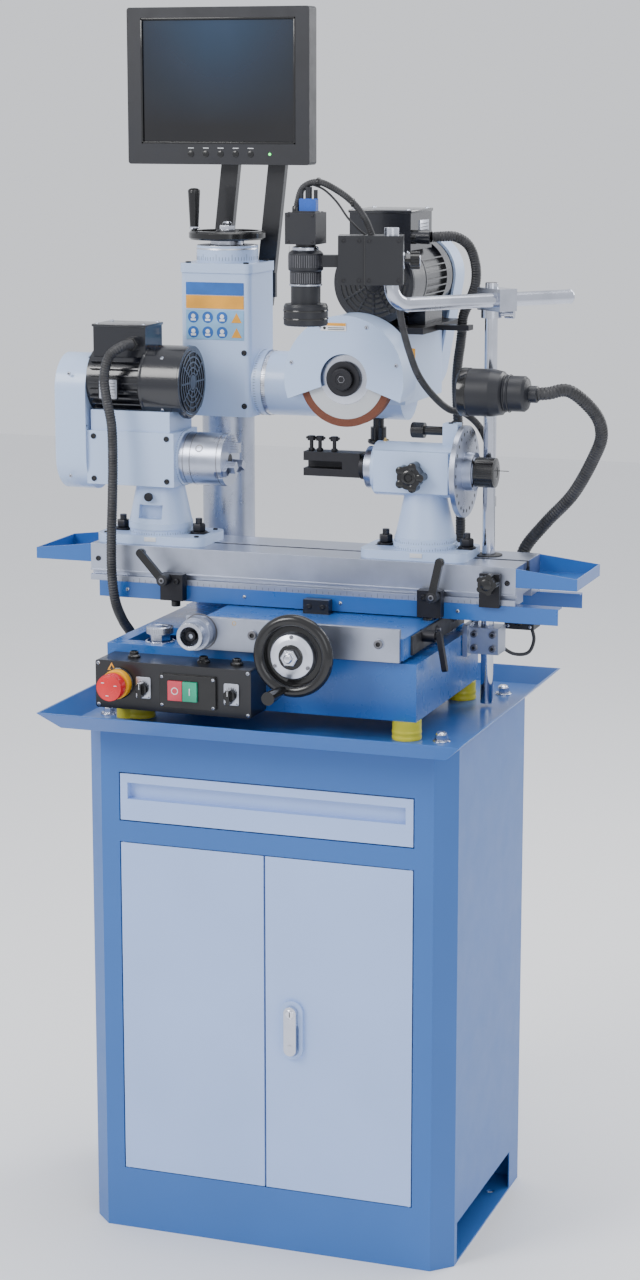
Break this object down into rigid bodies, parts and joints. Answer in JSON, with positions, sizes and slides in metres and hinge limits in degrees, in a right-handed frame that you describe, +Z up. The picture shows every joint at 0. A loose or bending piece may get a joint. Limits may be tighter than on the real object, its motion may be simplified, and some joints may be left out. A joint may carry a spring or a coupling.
{
  "type": "wet grinding sharpener",
  "caption": "Tool and cutter grinding machine on a blue cabinet: table with two workheads, wheel head on a column, handwheels, camera on a post and a monitor.",
  "frame": {"origin": "centre of the cabinet's footprint and of its four anchor holes, on the floor", "axes": "+Z up, +X to the operator's right, +Y away from the operator"},
  "size_m": [0.9173, 0.6663, 1.917],
  "materials": {
    "blue_paint": "satin",
    "gloss_blue": "gloss",
    "yellow_paint": "satin",
    "ground_steel": "ground",
    "black_paint": "satin",
    "pale_blue_paint": "satin",
    "zinc": "satin",
    "red_plastic": "gloss",
    "green_plastic": "gloss",
    "black_plastic": "fine grain",
    "aluminium": "machined",
    "black_oxide": "black oxide",
    "grey_paint": "satin",
    "chrome": "polished",
    "black_rubber": "corrugated",
    "abrasive": "abrasive grain"
  },
  "bodies": {
    "stand": {"cabinet_shell": "blue_paint", "tray": "blue_paint", "base_casting": "gloss_blue", "feet_and_bolts": "yellow_paint", "column": "ground_steel", "control_box": "black_paint"},
    "drawer": {"drawer": "pale_blue_paint"},
    "left_door": {"left_door": "pale_blue_paint"},
    "right_door": {"right_door": "pale_blue_paint"},
    "door_handle": {"door_handle": "zinc"},
    "estop_button": {"estop_button": "red_plastic"},
    "on_button": {"on_button": "green_plastic"},
    "off_button": {"off_button": "red_plastic"},
    "selector_left": {"selector_left": "black_plastic"},
    "selector_right": {"selector_right": "black_plastic"},
    "saddle": {"saddle": "gloss_blue", "saddle_plate": "ground_steel"},
    "saddle_lock": {"saddle_lock": "black_plastic"},
    "cross_handwheel": {"cross_handwheel": "black_plastic"},
    "table_knob": {"table_knob": "aluminium"},
    "table": {"table": "ground_steel", "table_guards": "gloss_blue", "table_stops": "black_oxide", "post_clamp": "aluminium", "left_base": "grey_paint", "lamp": "black_plastic"},
    "left_stop_lever": {"left_stop_lever": "black_plastic"},
    "right_stop_lever": {"right_stop_lever": "black_plastic"},
    "table_clamp_knob": {"table_clamp_knob": "black_plastic"},
    "camera_post": {"camera_post": "chrome"},
    "optics": {"bent_tube": "chrome", "optics_bracket": "black_oxide", "camera": "black_paint", "camera_cable": "black_rubber"},
    "focus_knob": {"focus_knob": "black_plastic"},
    "left_head": {"left_head": "grey_paint", "left_motor": "black_paint", "left_belt": "black_rubber", "left_conduit": "black_rubber"},
    "left_rotor": {"left_rotor": "ground_steel"},
    "chuck": {"chuck": "ground_steel"},
    "right_head": {"right_head": "grey_paint"},
    "index_spindle": {"index_spindle": "ground_steel", "tool_holder": "black_oxide"},
    "head_clamp_knob": {"head_clamp_knob": "black_plastic"},
    "index_pin": {"index_pin": "black_oxide"},
    "tower": {"tower": "grey_paint", "monitor_arms": "black_paint", "head_conduit": "black_rubber"},
    "lift_handwheel": {"lift_handwheel": "black_plastic"},
    "monitor": {"monitor": "black_plastic"},
    "tilt_arm": {"tilt_arm": "grey_paint", "wheel_guard": "grey_paint", "grinding_motor": "aluminium", "belt_cover": "grey_paint", "drive_belt": "black_rubber", "motor_conduit": "black_rubber"},
    "wheel_spindle": {"grinding_wheel": "abrasive", "grinding_spindle": "ground_steel"},
    "main_rotor": {"main_rotor": "ground_steel"}
  },
  "joints": [
    {"name": "drawer_slide", "type": "slide", "parent": "stand", "child": "drawer", "axis": [0, -1, 0], "range_m": [0, 0.28]},
    {"name": "left_door_hinge", "type": "hinge", "parent": "stand", "child": "left_door", "pos_m": [-0.234, -0.196, 0.37], "axis": [0, 0, -1], "range_deg": [0, 110]},
    {"name": "right_door_hinge", "type": "hinge", "parent": "stand", "child": "right_door", "pos_m": [0.234, -0.196, 0.37], "axis": [0, 0, 1], "range_deg": [0, 110]},
    {"name": "door_handle_turn", "type": "hinge", "parent": "right_door", "child": "door_handle", "pos_m": [0.046, -0.2, 0.394], "axis": [0, 1, 0], "range_deg": [0, 90]},
    {"name": "estop_press", "type": "slide", "parent": "stand", "child": "estop_button", "axis": [0, 1, 0], "range_m": [0, 0.004], "stiffness_N_per_m": 2000},
    {"name": "on_press", "type": "slide", "parent": "stand", "child": "on_button", "axis": [0, 1, 0], "range_m": [0, 0.003], "stiffness_N_per_m": 1200},
    {"name": "off_press", "type": "slide", "parent": "stand", "child": "off_button", "axis": [0, 1, 0], "range_m": [0, 0.003], "stiffness_N_per_m": 1200},
    {"name": "selector_left_turn", "type": "hinge", "parent": "stand", "child": "selector_left", "pos_m": [-0.177, -0.245, 0.898], "axis": [0, 1, 0], "range_deg": [-45, 45]},
    {"name": "selector_right_turn", "type": "hinge", "parent": "stand", "child": "selector_right", "pos_m": [-0.034, -0.245, 0.898], "axis": [0, 1, 0], "range_deg": [-45, 45]},
    {"name": "saddle_slide", "type": "slide", "parent": "stand", "child": "saddle", "axis": [0, 1, 0], "range_m": [-0.06, 0.008]},
    {"name": "saddle_lock_turn", "type": "hinge", "parent": "saddle", "child": "saddle_lock", "pos_m": [0.216, -0.1, 0.978], "axis": [1, 0, 0], "range_deg": [-40, 40]},
    {"name": "cross_wheel_turn", "type": "hinge", "parent": "saddle", "child": "cross_handwheel", "pos_m": [0.067, -0.2, 0.966], "axis": [0, 1, 0], "range_deg": [-4330, 586]},
    {"name": "table_slide", "type": "slide", "parent": "saddle", "child": "table", "axis": [1, 0, 0], "range_m": [0, 0.03]},
    {"name": "table_knob_turn", "type": "hinge", "parent": "saddle", "child": "table_knob", "pos_m": [-0.105, -0.2, 0.98], "axis": [0, 1, 0], "range_deg": [0, 145]},
    {"name": "left_stop_turn", "type": "hinge", "parent": "table", "child": "left_stop_lever", "pos_m": [-0.226, -0.03, 1.0275], "axis": [0, 1, 0], "range_deg": [-60, 40]},
    {"name": "right_stop_turn", "type": "hinge", "parent": "table", "child": "right_stop_lever", "pos_m": [0.218, -0.03, 1.0275], "axis": [0, 1, 0], "range_deg": [-40, 40]},
    {"name": "table_clamp_turn", "type": "hinge", "parent": "table", "child": "table_clamp_knob", "pos_m": [0.302, -0.03, 1.051], "axis": [0, 1, 0], "range_deg": [-180, 180]},
    {"name": "camera_post_lift", "type": "slide", "parent": "table", "child": "camera_post", "axis": [0, 0, 1], "range_m": [0, 0.05]},
    {"name": "optics_swing", "type": "hinge", "parent": "camera_post", "child": "optics", "pos_m": [0.268, 0.086, 1.472], "axis": [0, 0, 1], "range_deg": [-10, 10]},
    {"name": "focus_knob_turn", "type": "hinge", "parent": "optics", "child": "focus_knob", "pos_m": [0.19235, -0.0817, 1.538], "axis": [0.9613, 0.2756, 0], "range_deg": [-180, 180]},
    {"name": "left_head_swivel", "type": "hinge", "parent": "table", "child": "left_head", "pos_m": [-0.272, 0.055, 1.074], "axis": [0, 0, 1], "range_deg": [-10, 5]},
    {"name": "chuck_turn", "type": "hinge", "parent": "left_head", "child": "chuck", "pos_m": [-0.2, 0.055, 1.209], "axis": [1, 0, 0], "continuous": true},
    {"name": "left_rotor_turn", "type": "hinge", "parent": "left_head", "child": "left_rotor", "pos_m": [-0.3, 0.055, 1.33], "axis": [1, 0, 0], "continuous": true},
    {"name": "right_head_slide", "type": "slide", "parent": "table", "child": "right_head", "axis": [1, 0, 0], "range_m": [-0.05, 0]},
    {"name": "index_turn", "type": "hinge", "parent": "right_head", "child": "index_spindle", "pos_m": [0.2, 0.05, 1.209], "axis": [1, 0, 0], "continuous": true},
    {"name": "head_clamp_turn", "type": "hinge", "parent": "right_head", "child": "head_clamp_knob", "pos_m": [0.168, 0, 1.204], "axis": [0, 1, 0], "range_deg": [-180, 180]},
    {"name": "index_pin_push", "type": "slide", "parent": "right_head", "child": "index_pin", "axis": [1, 0, 0], "range_m": [0, 0.007]},
    {"name": "tower_lift", "type": "slide", "parent": "stand", "child": "tower", "axis": [0, 0, 1], "range_m": [-0.03, 0.09]},
    {"name": "lift_wheel_turn", "type": "hinge", "parent": "tower", "child": "lift_handwheel", "pos_m": [-0.212, 0.203, 1.552], "axis": [0, 0, 1], "range_deg": [-2710, 8110]},
    {"name": "monitor_tilt", "type": "hinge", "parent": "tower", "child": "monitor", "pos_m": [-0.177, 0.2745, 1.794], "axis": [1, 0, 0], "range_deg": [-15, 2]},
    {"name": "arm_tilt", "type": "hinge", "parent": "tower", "child": "tilt_arm", "pos_m": [0, 0.203, 1.318], "axis": [1, 0, 0], "range_deg": [-20, 5]},
    {"name": "wheel_turn", "type": "hinge", "parent": "tilt_arm", "child": "wheel_spindle", "pos_m": [0.057, 0.1, 1.35], "axis": [0, 1, 0], "continuous": true},
    {"name": "main_rotor_turn", "type": "hinge", "parent": "tilt_arm", "child": "main_rotor", "pos_m": [0.083, 0.1, 1.493], "axis": [0, 1, 0], "continuous": true}
  ],
  "couplings": [
    {"joint": "cross_wheel_turn", "follows": "saddle_slide", "rad_per_m": 1256.6},
    {"joint": "table_knob_turn", "follows": "table_slide", "rad_per_m": 83.333},
    {"joint": "lift_wheel_turn", "follows": "tower_lift", "rad_per_m": 1570.8},
    {"joint": "chuck_turn", "follows": "left_rotor_turn", "ratio": 0.73333},
    {"joint": "wheel_turn", "follows": "main_rotor_turn", "ratio": 1.6667}
  ]
}
